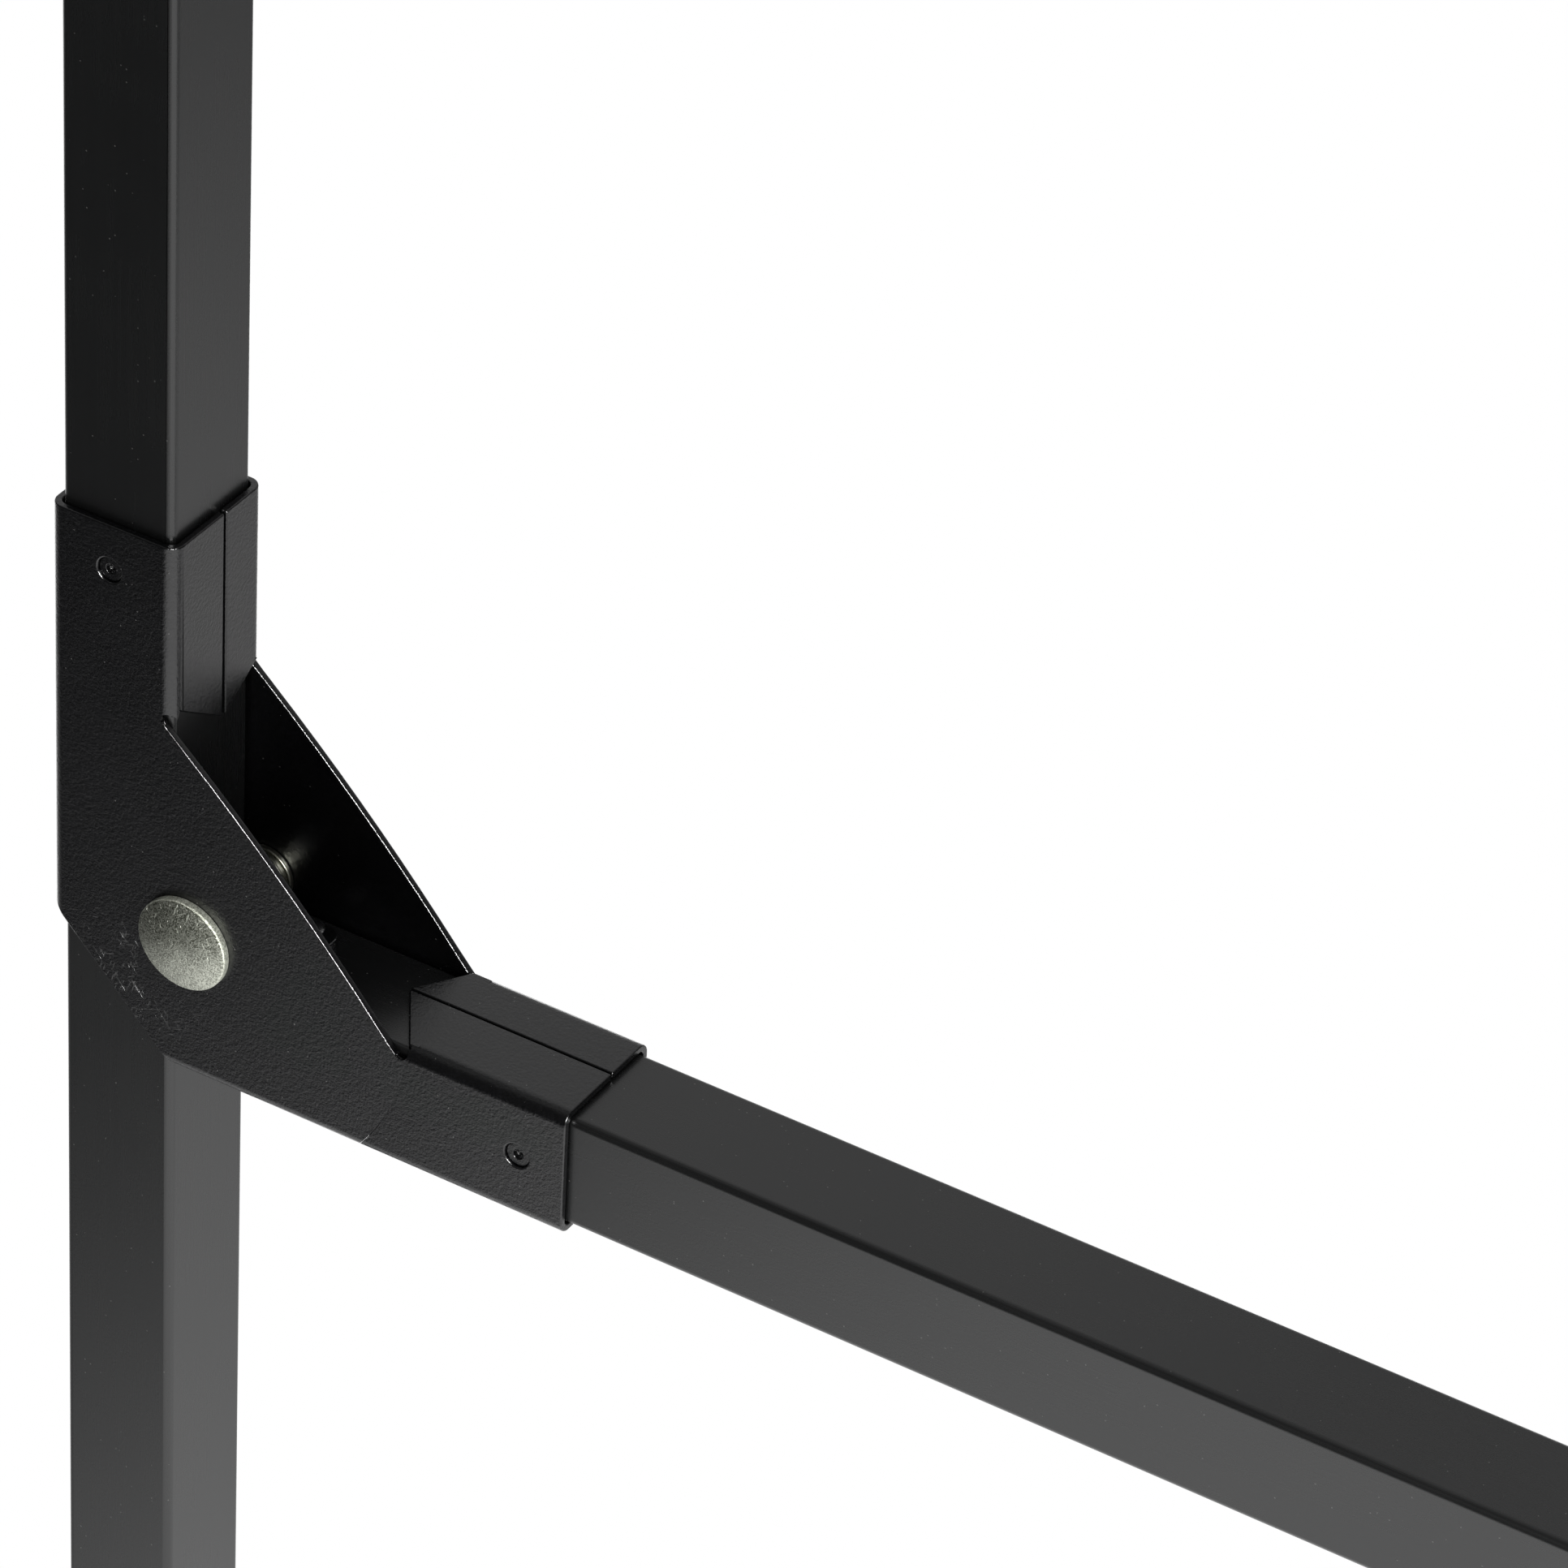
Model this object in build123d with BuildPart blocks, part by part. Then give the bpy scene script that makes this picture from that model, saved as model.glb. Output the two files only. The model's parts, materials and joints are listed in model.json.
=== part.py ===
"""Wall mounted drying rack whose frame folds down on two pressed steel hinge brackets.

Frame: the wall is the plane x = 0 and +X points out of it, Y runs along the wall, +Z is up.
The origin is the centre of the four wall screw holes. Lengths are millimetres.
Every left-hand piece is drawn first, and its right-hand twin is its mirror image.
"""

from build123d import *
from math import sqrt
import os

os.makedirs("parts", exist_ok=True)

# ---- driving dimensions ---------------------------------------------------------------------
tube = 25.0                 # side of every square tube
tube_wall = 1.5
tube_corner = 1.6           # outer corner radius of the tube
tube_corner_in = 0.3        # inner corner radius
post_length = 900.0
post_spacing = 740.0        # between the two posts' middle planes
arm_height = 260.0          # the arms' top face above the posts' lower end
arm_end_out = 605.0         # the arm tube's outer end, from the post's front face
arm_start_out = 12.5        # the arm tube's inner end, from the post's front face

sheet = 1.5                 # bracket sheet thickness
bend = 1.4                  # inside radius of the sheet's bends
sleeve_fit = 0.3            # gap between sheet and tube
web_fit = 0.4               # gap under the arm, where its corner swings
sleeve_up = 93.0            # top of the post's sleeve, above the arms' top face
sleeve_out = 90.2           # outer end of the arm's sleeve, from the post's front face
web_end = 3.0               # where both webs stop, from the inner corner lines
corner_cut = 25.6           # the cut corner's line: distance out plus height is minus this
split_radius = 50.5         # joint line between bracket and arm sleeve, about the pivot
split_gap = 0.12

pivot_out = 4.6             # pivot from the post's front face
pivot_up = 5.1              # pivot above the arms' top face
pivot_shank = 4.0           # radius
pivot_run = 0.05            # radial running clearance in the leaf's barrel
pivot_hole_gap = 0.1        # radial, in the bracket's plates
head_radius = 9.95
head_rim = 1.6
head_dome = 1.5
barrel_radius = 5.8
washer_radius = 6.2
washer_gap = 0.15           # radial, on the shank
spring_washer_less = 0.4    # the spring washer's radius is this much smaller
washer_play = 0.02          # between neighbouring washers
pivot_clear = 0.5           # round the washers, in the post's front and over the stop plug
washer_thick = 1.3
nut_across_flats = 13.0
nut_height = 6.5
nut_flange_radius = 8.6
nut_flange = 1.5
thread_out = 1.5            # bolt end past the nut
thread_chamfer = 0.6

gusset_top = 54.2           # upper notch centre, above the arms' top face
gusset_out = 53.4           # outer notch centre, from the post's front face
gusset_bulge = 1.6          # sagitta of the plates' curved edge
notch_radius = 1.4
notch_in = 0.7              # the plates' other edges run this far past a notch's middle
notch_over = 1.26           # the curved edge starts this far along from a notch's middle
seam_offset = 1.7           # the folded sheet's seam, from the tube's middle plane
post_seam = 0.8
arm_seam = 0.4
vee_slope = 0.66            # the flaps' inner ends run back this much per unit of width
vee_up = 46.8               # the post flaps' lowest point
vee_out = 44.8              # the arm flaps' innermost point
tongue_gap = 0.3            # between the flaps' slanted ends and the plates

leaf_length = 20.5
leaf_side_gap = 0.4         # between the leaf's edge and the washers
leaf_thick = 2.0
leaf_round = 3.0            # radius of the leaf's outer corners
rivet_along = 14.6          # rivets, out from the pivot
rivet_side = 6.0
rivet_shank = 1.6
rivet_head = 3.0
rivet_tail = 2.0            # radius of the closed end inside the tube
rivet_head_height = 1.3
rivet_fit = 0.05

pin_radius = 2.55
pin_hole_gap = 0.15
pin_sunk = 0.6              # pin head below the sheet's face
pin_length = 3.6
pin_dimple = 1.1            # radius
pin_dimple_deep = 1.2
post_pin_back = 13.1        # behind the post's front face
post_pin_up = 83.0
arm_pin_out = 79.8
arm_pin_down = 12.2

wall_tab = 3.0              # thickness, which also holds the posts off the wall
tab_over = 45.0             # tab length behind the post
tab_out = 24.0              # tab length past the post's end
wall_hole_out = 12.0        # wall screw hole, past the post's end
wall_hole = 3.25            # radius
tab_round = 12.0
tab_screw_rows = (15.0, 35.0)
screw_m4 = 2.0              # radius
screw_m4_head = 4.0
screw_m4_length = 9.0
screw_fit = 0.05

rail_down = 40.0            # the rail's middle, below the posts' upper end
insert_length = 18.0
insert_fit = 0.2
screw_m6 = 3.0
screw_m6_head = 5.5
screw_m6_head_height = 3.4
screw_m6_round = 1.8        # the head's edge radius
screw_m6_grip = 12.0        # length inside the rail insert
screw_m6_key = 2.4          # radius of the round drive recess

cap_flange = 2.5
cap_stem = 12.0
cap_fit = 0.15
stop_gap = 0.3              # stop plug to post
stop_inset = 1.0            # stop plug's nose inside the tube's outline
stop_stem = 3.0             # stop plug's length inside the tube, short of the rivets

rest_pad_down = 80.0        # rest pad's middle, below the posts' upper end
rest_pad_radius = 10.0
rest_pad_gap = 0.3
rest_pad_round = 2.0        # the pad's edge radius
rest_pad_stem = 3.0
rest_pad_stem_length = 7.0
rest_pad_fit = 0.1

rod_count = 7
rod_first = 310.0           # first rod, from the post's front face
rod_pitch = 45.0
rod_radius = 6.0
rod_wall = 1.0
rod_seat = 8.0              # rod length inside the arm's inner face
bush_wall = 1.3
bush_fit = 0.05
bush_flange_radius = 9.0
bush_flange = 1.5
bush_floor = 1.5

# ---- places that follow ---------------------------------------------------------------------
past = 10.0                                   # how far a cutter runs past what it cuts
side_y = -post_spacing / 2                    # the left post's middle plane
post_back = wall_tab
post_front = post_back + tube
post_low = -post_length / 2
post_high = post_length / 2
post_middle = post_back + tube / 2
arm_top = post_low + arm_height
arm_middle = arm_top - tube / 2
pivot_x = post_front + pivot_out
pivot_z = arm_top + pivot_up
half_in = tube / 2 + sleeve_fit               # inner face of a plate, from the middle plane
half_out = half_in + sheet
tongue_half = half_in - tongue_gap             # the flaps' slanted ends, between the plates
side = Plane.XZ.offset(-side_y)               # drawing plane through the left post and arm
arm_start = post_front + arm_start_out
arm_end = post_front + arm_end_out
rail_z = post_high - rail_down
pad_z = post_high - rest_pad_down
inner_face = side_y + tube / 2                # the left tubes' inner side
rod_places = [post_front + rod_first + rod_pitch * i for i in range(rod_count)]


def at(out, up):
    """A point of the side drawing, from the post's front face and the arms' top face."""
    return (post_front + out, arm_top + up)


def arc_out(radius, up):
    """How far out a circle about the pivot is, at a height above the arms' top face."""
    return pivot_out + sqrt(radius**2 - (up - pivot_up) ** 2)


def across(x, z, y=side_y):
    """A drawing plane across Y at a point: its own x is X and its own y points down."""
    return Plane(origin=(x, y, z), x_dir=(1, 0, 0), z_dir=(0, 1, 0))


def turned(x, z):
    """A drawing plane for a turned piece on an axis along Y: own x is the radius, own y is Y."""
    return Plane(origin=(x, side_y, z), x_dir=(1, 0, 0), z_dir=(0, 0, 1))


def dome_middle(radius, height):
    """Height of a round dome, measured from its rim, at half its radius."""
    sphere = (radius**2 + height**2) / (2 * height)
    return sqrt(sphere**2 - radius**2 / 4) - sphere + height


def y_axis(x, z):
    return Axis((x, side_y, z), (0, 1, 0))


def keep(piece, label):
    piece.label = label
    export_step(piece, f"parts/{label}.step")


def keep_pair(piece, label):
    """Writes a left-hand piece and its mirror image on the right."""
    twin = mirror(piece, about=Plane.XZ)
    keep(piece, f"{label}_left")
    keep(twin, f"{label}_right")


# ---- posts, arms and rail: square tubes with their holes -------------------------------------
def tube_section(middle=(0, 0)):
    """The tube's hollow section, for the sketch that is being drawn."""
    with Locations(middle):
        RectangleRounded(tube, tube, tube_corner)
        RectangleRounded(tube - 2 * tube_wall, tube - 2 * tube_wall, tube_corner_in, mode=Mode.SUBTRACT)


tab_screw_z = [post_low + row for row in tab_screw_rows]
tab_screw_z += [post_high - row for row in tab_screw_rows]

with BuildPart() as post:
    with BuildSketch(Plane.XY.offset(post_low)):
        tube_section((post_middle, side_y))
    extrude(amount=post_length)
    for z in tab_screw_z:
        with BuildSketch(Plane.YZ.offset(post_back - past)):
            with Locations((side_y, z)):
                Circle(screw_m4 + screw_fit)
        extrude(amount=past + tube / 2, mode=Mode.SUBTRACT)
    with BuildSketch(Plane.YZ.offset(post_middle)):
        with Locations((side_y, pad_z)):
            Circle(rest_pad_stem + rest_pad_fit)
    extrude(amount=tube, mode=Mode.SUBTRACT)
    with BuildSketch(side):
        with Locations((post_middle, rail_z)):
            Circle(screw_m6 + screw_fit)
        with Locations(at(-post_pin_back, post_pin_up)):
            Circle(pin_radius + screw_fit)
        # room for the pivot's washers and barrel, behind the bracket's plates
        with Locations((pivot_x, pivot_z)):
            Circle(washer_radius + pivot_clear)
    extrude(amount=tube, both=True, mode=Mode.SUBTRACT)
keep_pair(post.part, "post")

with BuildPart() as arm:
    with BuildSketch(Plane.YZ.offset(arm_start)):
        tube_section((side_y, arm_middle))
    extrude(amount=arm_end - arm_start)
    with BuildSketch(across(0, 0, side_y)):
        for x in rod_places:
            with Locations((x, -arm_middle)):
                Circle(rod_radius + bush_wall + 2 * bush_fit)
    extrude(amount=tube, mode=Mode.SUBTRACT)
    with BuildSketch(side):
        with Locations(at(arm_pin_out, -arm_pin_down)):
            Circle(pin_radius + screw_fit)
    extrude(amount=tube, both=True, mode=Mode.SUBTRACT)
    with BuildSketch(Plane.XY.offset(arm_middle)):
        with Locations((pivot_x + rivet_along, side_y)):
            with GridLocations(1, 2 * rivet_side, 1, 2):
                Circle(rivet_shank + rivet_fit)
    extrude(amount=tube, mode=Mode.SUBTRACT)
keep_pair(arm.part, "arm")

rail_half = -inner_face
with BuildPart() as top_rail:
    with BuildSketch(Plane.XZ):
        tube_section((post_middle, rail_z))
    extrude(amount=rail_half, both=True)
keep(top_rail.part, "top_rail")

# ---- pressed bracket on the post -------------------------------------------------------------
back_face = -tube - sleeve_fit - sheet        # the back web's outer face, from the post's front
front_face = sleeve_fit + sheet
under_face = -tube - web_fit - sheet
bracket_radius = split_radius - split_gap / 2
edge_start = (-notch_in, gusset_top - notch_over)
edge_end = (gusset_out - notch_over, -notch_in)
edge_middle = (
    (edge_start[0] + edge_end[0]) / 2 + gusset_bulge / sqrt(2),
    (edge_start[1] + edge_end[1]) / 2 + gusset_bulge / sqrt(2),
)
plate_top = -notch_in               # top of the plates between notch and joint line
arc_high = (arc_out(bracket_radius, plate_top), plate_top)
arc_low = (arc_out(bracket_radius, under_face), under_face)
arc_half_up = (plate_top + under_face) / 2
arc_half = (arc_out(bracket_radius, arc_half_up), arc_half_up)

with BuildPart() as bracket:
    with BuildSketch(side):
        with BuildLine():
            Polyline(
                at(*arc_low),
                at(-corner_cut - under_face, under_face),
                at(back_face, -corner_cut - back_face),
                at(back_face, gusset_top),
                at(edge_start[0], gusset_top),
                at(*edge_start),
            )
            ThreePointArc(at(*edge_start), at(*edge_middle), at(*edge_end))
            Line(at(*edge_end), at(*arc_high))
            ThreePointArc(at(*arc_high), at(*arc_half), at(*arc_low))
        make_face()
    extrude(amount=half_out, both=True)
    back_edges = bracket.edges().filter_by(Axis.Z).group_by(Axis.X)[0]
    under_edges = bracket.edges().filter_by(Axis.X).group_by(Axis.Z)[0]
    fillet(back_edges + under_edges, radius=bend + sheet)
    # the sleeve round the post stands on top of the plates
    with BuildSketch(Plane.XY.offset(arm_top + gusset_top)):
        with Locations((post_middle, side_y)):
            RectangleRounded(front_face - back_face, 2 * half_out, bend + sheet)
    extrude(amount=sleeve_up - gusset_top)
    # the channel that the post fills
    with BuildSketch(Plane.XY.offset(arm_top + under_face - past)):
        with Locations((post_middle, side_y)):
            RectangleRounded(tube + 2 * sleeve_fit, 2 * half_in, bend)
    extrude(amount=sleeve_up - under_face + 2 * past, mode=Mode.SUBTRACT)
    # the channel that the arm swings in
    channel_height = gusset_top - under_face - sheet
    with BuildSketch(Plane.YZ.offset(post_middle)):
        with Locations((side_y, arm_top + gusset_top - channel_height / 2)):
            RectangleRounded(2 * half_in, channel_height, bend)
    extrude(amount=sleeve_out, mode=Mode.SUBTRACT)
    # the sleeve's flaps reach down between the plates, with slanted ends
    with BuildSketch(Plane.YZ.offset(post_front + sleeve_fit)):
        with Locations((side_y, arm_top + gusset_top)):
            Rectangle(2 * tongue_half, gusset_top - vee_up, align=(Align.CENTER, Align.MAX))
    extrude(amount=sheet)
    with BuildSketch(Plane.YZ.offset(post_front)):
        with BuildLine():
            Polyline(
                (side_y - half_in, arm_top + vee_up - past),
                (side_y - half_in, arm_top + vee_up + vee_slope * (half_in + seam_offset)),
                (side_y + seam_offset, arm_top + vee_up),
                (side_y + half_in, arm_top + vee_up + vee_slope * (half_in - seam_offset)),
                (side_y + half_in, arm_top + vee_up - past),
                close=True,
            )
        make_face()
    extrude(amount=past, mode=Mode.SUBTRACT)
    # both webs stop short of the cut corner
    with BuildSketch(side):
        with Locations(at(web_end, web_end)):
            Rectangle(2 * tube, 2 * tube, align=(Align.MAX, Align.MAX))
    extrude(amount=half_in, both=True, mode=Mode.SUBTRACT)
    # the open seam down the front of the sleeve
    with BuildSketch(Plane.YZ.offset(post_front)):
        with Locations((side_y + seam_offset, arm_top + sleeve_up / 2)):
            Rectangle(post_seam, sleeve_up + past)
    extrude(amount=past, mode=Mode.SUBTRACT)
    # round notches at both ends of the plates' curved edges
    for way in (-1, 1):
        for notch in (at(0, gusset_top), at(gusset_out, 0)):
            with BuildSketch(across(*notch, side_y + way * tongue_half)):
                Circle(notch_radius)
            extrude(amount=way * tube, mode=Mode.SUBTRACT)
    # the pivot hole and the pin holes
    with BuildSketch(side):
        with Locations((pivot_x, pivot_z)):
            Circle(pivot_shank + pivot_hole_gap)
        with Locations(at(-post_pin_back, post_pin_up)):
            Circle(pin_radius + pin_hole_gap)
    extrude(amount=tube, both=True, mode=Mode.SUBTRACT)
keep_pair(bracket.part, "bracket")

# ---- pressed sleeve on the arm ---------------------------------------------------------------
sleeve_inner = arc_out(split_radius, under_face) - past
with BuildPart() as arm_sleeve:
    with BuildSketch(side):
        with Locations(at(sleeve_inner, under_face)):
            Rectangle(sleeve_out - sleeve_inner, front_face - under_face, align=Align.MIN)
    extrude(amount=half_out, both=True)
    fillet(arm_sleeve.edges().filter_by(Axis.X), radius=bend + sheet)
    with BuildSketch(Plane.YZ.offset(post_front)):
        with Locations((side_y, arm_top + (sleeve_fit - tube - web_fit) / 2)):
            RectangleRounded(2 * half_in, tube + sleeve_fit + web_fit, bend)
    extrude(amount=sleeve_out + past, mode=Mode.SUBTRACT)
    with BuildSketch(side):
        with Locations((pivot_x, pivot_z)):
            Circle(split_radius + split_gap / 2)
    extrude(amount=tube, both=True, mode=Mode.SUBTRACT)
    # the flaps' slanted inner ends reach in between the bracket's plates
    tongue_root = post_front + arc_out(split_radius, 0) + sheet
    with BuildSketch(Plane.XY.offset(arm_top + sleeve_fit)):
        with BuildLine():
            Polyline(
                (tongue_root, side_y - tongue_half),
                (post_front + vee_out + vee_slope * (tongue_half + seam_offset), side_y - tongue_half),
                (post_front + vee_out, side_y + seam_offset),
                (post_front + vee_out + vee_slope * (tongue_half - seam_offset), side_y + tongue_half),
                (tongue_root, side_y + tongue_half),
                close=True,
            )
        make_face()
    extrude(amount=sheet)
    with BuildSketch(Plane.XY.offset(arm_top)):
        with Locations((post_front + sleeve_out / 2, side_y + seam_offset)):
            Rectangle(sleeve_out + past, arm_seam)
    extrude(amount=past, mode=Mode.SUBTRACT)
    with BuildSketch(side):
        with Locations(at(arm_pin_out, -arm_pin_down)):
            Circle(pin_radius + pin_hole_gap)
    extrude(amount=tube, both=True, mode=Mode.SUBTRACT)
keep_pair(arm_sleeve.part, "arm_sleeve")

# ---- hinge leaf, riveted on the arm, and its pivot --------------------------------------------
front_washer_y = -half_in                     # stack at the head side, from the middle plane
barrel_start = front_washer_y + washer_thick
barrel_end = half_in - 3 * washer_thick
leaf_half_width = barrel_end - leaf_side_gap
with BuildPart() as hinge_leaf:
    with BuildSketch(Plane.XY.offset(arm_top)):
        with Locations((pivot_x + leaf_length / 2, side_y)):
            Rectangle(leaf_length, 2 * leaf_half_width)
    extrude(amount=leaf_thick)
    fillet(hinge_leaf.edges().filter_by(Axis.Z).group_by(Axis.X)[-1], radius=leaf_round)
    with BuildSketch(across(pivot_x, pivot_z, side_y + barrel_start)):
        Circle(barrel_radius)
    extrude(amount=barrel_end - barrel_start)
    with BuildSketch(across(pivot_x, pivot_z)):
        Circle(pivot_shank + pivot_run)
    extrude(amount=tube, both=True, mode=Mode.SUBTRACT)
    with BuildSketch(Plane.XY.offset(arm_top)):
        with Locations((pivot_x + rivet_along, side_y)):
            with GridLocations(1, 2 * rivet_side, 1, 2):
                Circle(rivet_shank + rivet_fit)
    extrude(amount=leaf_thick, mode=Mode.SUBTRACT)
keep_pair(hinge_leaf.part, "hinge_leaf")

rivet_low = arm_top - tube_wall - rivet_head_height
rivet_high = arm_top + leaf_thick + rivet_head_height
with BuildPart() as leaf_rivets:
    for y in (side_y - rivet_side, side_y + rivet_side):
        with BuildSketch(Plane((pivot_x + rivet_along, y, 0), (1, 0, 0), (0, -1, 0))):
            with BuildLine():
                Polyline((0, rivet_high), (0, rivet_low), (rivet_tail, rivet_low))
                Polyline(
                    (rivet_tail, rivet_low),
                    (rivet_tail, arm_top - tube_wall),
                    (rivet_shank, arm_top - tube_wall),
                    (rivet_shank, arm_top + leaf_thick),
                    (rivet_head, arm_top + leaf_thick),
                )
                ThreePointArc(
                    (rivet_head, arm_top + leaf_thick),
                    (rivet_head / 2, arm_top + leaf_thick + dome_middle(rivet_head, rivet_head_height)),
                    (0, rivet_high),
                )
            make_face()
        revolve(axis=Axis((pivot_x + rivet_along, y, 0), (0, 0, 1)))
keep_pair(leaf_rivets.part, "leaf_rivets")

nut_end = half_out + nut_height
with BuildPart() as pivot_bolt:
    with BuildSketch(turned(pivot_x, pivot_z)):
        with BuildLine():
            Polyline(
                (0, -half_out - head_rim - head_dome),
                (0, nut_end + thread_out),
                (pivot_shank, nut_end + thread_out),
                (pivot_shank, -half_out),
                (head_radius, -half_out),
                (head_radius, -half_out - head_rim),
            )
            ThreePointArc(
                (head_radius, -half_out - head_rim),
                (head_radius / 2, -half_out - head_rim - dome_middle(head_radius, head_dome)),
                (0, -half_out - head_rim - head_dome),
            )
        make_face()
    revolve(axis=y_axis(pivot_x, pivot_z))
    chamfer(pivot_bolt.edges().group_by(Axis.Y)[-1], length=thread_chamfer)
keep_pair(pivot_bolt.part, "pivot_bolt")

plain, spring = washer_radius, washer_radius - spring_washer_less
washer_starts = [front_washer_y] + [half_in - n * washer_thick for n in (1, 2, 3)]
with BuildPart() as pivot_washers:
    for start, radius in zip(washer_starts, (plain, plain, spring, plain)):
        with BuildSketch(across(pivot_x, pivot_z, side_y + start)):
            Circle(radius)
            Circle(pivot_shank + washer_gap, mode=Mode.SUBTRACT)
        extrude(amount=washer_thick - washer_play)
keep_pair(pivot_washers.part, "pivot_washers")

with BuildPart() as pivot_nut:
    with BuildSketch(across(pivot_x, pivot_z, side_y + half_out)):
        Circle(nut_flange_radius)
    extrude(amount=nut_flange)
    with BuildSketch(across(pivot_x, pivot_z, side_y + half_out)):
        RegularPolygon(radius=nut_across_flats / 2, side_count=6, major_radius=False)
    extrude(amount=nut_height)
    with BuildSketch(across(pivot_x, pivot_z)):
        Circle(pivot_shank + screw_fit)
    extrude(amount=2 * tube, mode=Mode.SUBTRACT)
keep_pair(pivot_nut.part, "pivot_nut")


# ---- lock pins of both sleeves: round, sunk and dimpled, one each side ------------------------
def lock_pins(x, z):
    """Two short pins on one axis, into the tube from both plates, each with a round dimple."""
    top = half_out - pin_sunk
    with BuildPart() as pins:
        with BuildSketch(across(x, z, side_y + top - pin_length)):
            Circle(pin_radius)
        extrude(amount=pin_length)
        with BuildSketch(across(x, z, side_y + top - pin_dimple_deep)):
            Circle(pin_dimple)
        extrude(amount=pin_dimple_deep, mode=Mode.SUBTRACT)
        mirror(about=Plane.XZ.offset(-side_y))
    return pins.part


keep_pair(lock_pins(*at(-post_pin_back, post_pin_up)), "post_pins")
keep_pair(lock_pins(*at(arm_pin_out, -arm_pin_down)), "arm_pins")

# ---- wall tabs and their countersunk screws ---------------------------------------------------
with BuildPart() as wall_tabs:
    for end in (-1, 1):
        tab_middle = end * (post_length / 2 + (tab_out - tab_over) / 2)
        with BuildSketch(Plane.YZ):
            with Locations((side_y, tab_middle)):
                RectangleRounded(tube, tab_over + tab_out, tab_round)
            with Locations((side_y, end * (post_length / 2 - tab_over / 2))):
                Rectangle(tube, tab_over)
        extrude(amount=wall_tab)
    with BuildSketch(Plane.YZ):
        for end in (-1, 1):
            with Locations((side_y, end * (post_length / 2 + wall_hole_out))):
                Circle(wall_hole)
    extrude(amount=wall_tab, mode=Mode.SUBTRACT)
    with Locations(*[Location((0, side_y, z), (0, -90, 0)) for z in tab_screw_z]):
        CounterSinkHole(screw_m4 + screw_fit, screw_m4_head + screw_fit, depth=wall_tab)
keep_pair(wall_tabs.part, "wall_tabs")

with BuildPart() as tab_screws:
    for z in tab_screw_z:
        with BuildSketch(Plane(origin=(0, side_y, z), x_dir=(1, 0, 0), z_dir=(0, 0, 1))):
            with BuildLine():
                Polyline(
                    (0, 0),
                    (0, screw_m4_head),
                    (screw_m4_head - screw_m4, screw_m4),
                    (screw_m4_length, screw_m4),
                    (screw_m4_length, 0),
                    close=True,
                )
            make_face()
        revolve(axis=Axis((0, side_y, z), (1, 0, 0)))
keep_pair(tab_screws.part, "tab_screws")

# ---- rail inserts and screws ------------------------------------------------------------------
insert_side = tube - 2 * tube_wall - 2 * insert_fit
with BuildPart() as rail_insert:
    with BuildSketch(across(post_middle, rail_z, inner_face)):
        Rectangle(insert_side, insert_side)
        Circle(screw_m6 + screw_fit, mode=Mode.SUBTRACT)
    extrude(amount=insert_length)
keep_pair(rail_insert.part, "rail_insert")

screw_start = -tube / 2 - screw_m6_head_height
with BuildPart() as rail_screw:
    with BuildSketch(across(post_middle, rail_z, side_y + screw_start)):
        Circle(screw_m6_head)
    extrude(amount=screw_m6_head_height)
    fillet(rail_screw.edges().group_by(Axis.Y)[0], radius=screw_m6_round)
    with BuildSketch(across(post_middle, rail_z, side_y - tube / 2)):
        Circle(screw_m6)
    extrude(amount=tube + screw_m6_grip)
    with BuildSketch(across(post_middle, rail_z, side_y + screw_start)):
        RegularPolygon(radius=screw_m6_key, side_count=6)
    extrude(amount=screw_m6_head_height / 2, mode=Mode.SUBTRACT)
keep_pair(rail_screw.part, "rail_screw")

# ---- plastic plugs in the tubes' ends ---------------------------------------------------------
stem_side = tube - 2 * tube_wall - 2 * cap_fit
with BuildPart() as post_caps:
    for end in (-1, 1):
        with BuildSketch(Plane.XY.offset(end * post_length / 2)):
            with Locations((post_middle, side_y)):
                RectangleRounded(tube, tube, tube_corner)
        extrude(amount=end * cap_flange)
        with BuildSketch(Plane.XY.offset(end * post_length / 2)):
            with Locations((post_middle, side_y)):
                Rectangle(stem_side, stem_side)
        extrude(amount=-end * cap_stem)
keep_pair(post_caps.part, "post_caps")

with BuildPart() as arm_cap:
    with BuildSketch(Plane.YZ.offset(arm_end)):
        with Locations((side_y, arm_middle)):
            RectangleRounded(tube, tube, tube_corner)
    extrude(amount=cap_flange)
    with BuildSketch(Plane.YZ.offset(arm_end)):
        with Locations((side_y, arm_middle)):
            Rectangle(stem_side, stem_side)
    extrude(amount=-cap_stem)
keep_pair(arm_cap.part, "arm_cap")

# the stop plug's nose fills the gap between post and arm, under the pivot's washers
stop_high = pivot_up - washer_radius - pivot_clear
stop_low = stop_inset - tube
with BuildPart() as arm_stop:
    with BuildSketch(Plane.YZ.offset(post_front + stop_gap)):
        with Locations((side_y, arm_top + (stop_high + stop_low) / 2)):
            RectangleRounded(tube - 2 * stop_inset, stop_high - stop_low, tube_corner)
    extrude(amount=arm_start_out - stop_gap)
    with BuildSketch(Plane.YZ.offset(arm_start)):
        with Locations((side_y, arm_middle)):
            Rectangle(stem_side, stem_side)
    extrude(amount=stop_stem)
keep_pair(arm_stop.part, "arm_stop")

# ---- rubber pads that the folded arms rest on -------------------------------------------------
pad_height = pivot_out + pivot_up - rest_pad_gap
with BuildPart() as rest_pad:
    with BuildSketch(Plane.YZ.offset(post_front)):
        with Locations((side_y, pad_z)):
            Circle(rest_pad_radius)
    extrude(amount=pad_height)
    fillet(rest_pad.edges().group_by(Axis.X)[-1], radius=rest_pad_round)
    with BuildSketch(Plane.YZ.offset(post_front)):
        with Locations((side_y, pad_z)):
            Circle(rest_pad_stem)
    extrude(amount=-rest_pad_stem_length)
keep_pair(rest_pad.part, "rest_pad")

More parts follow.
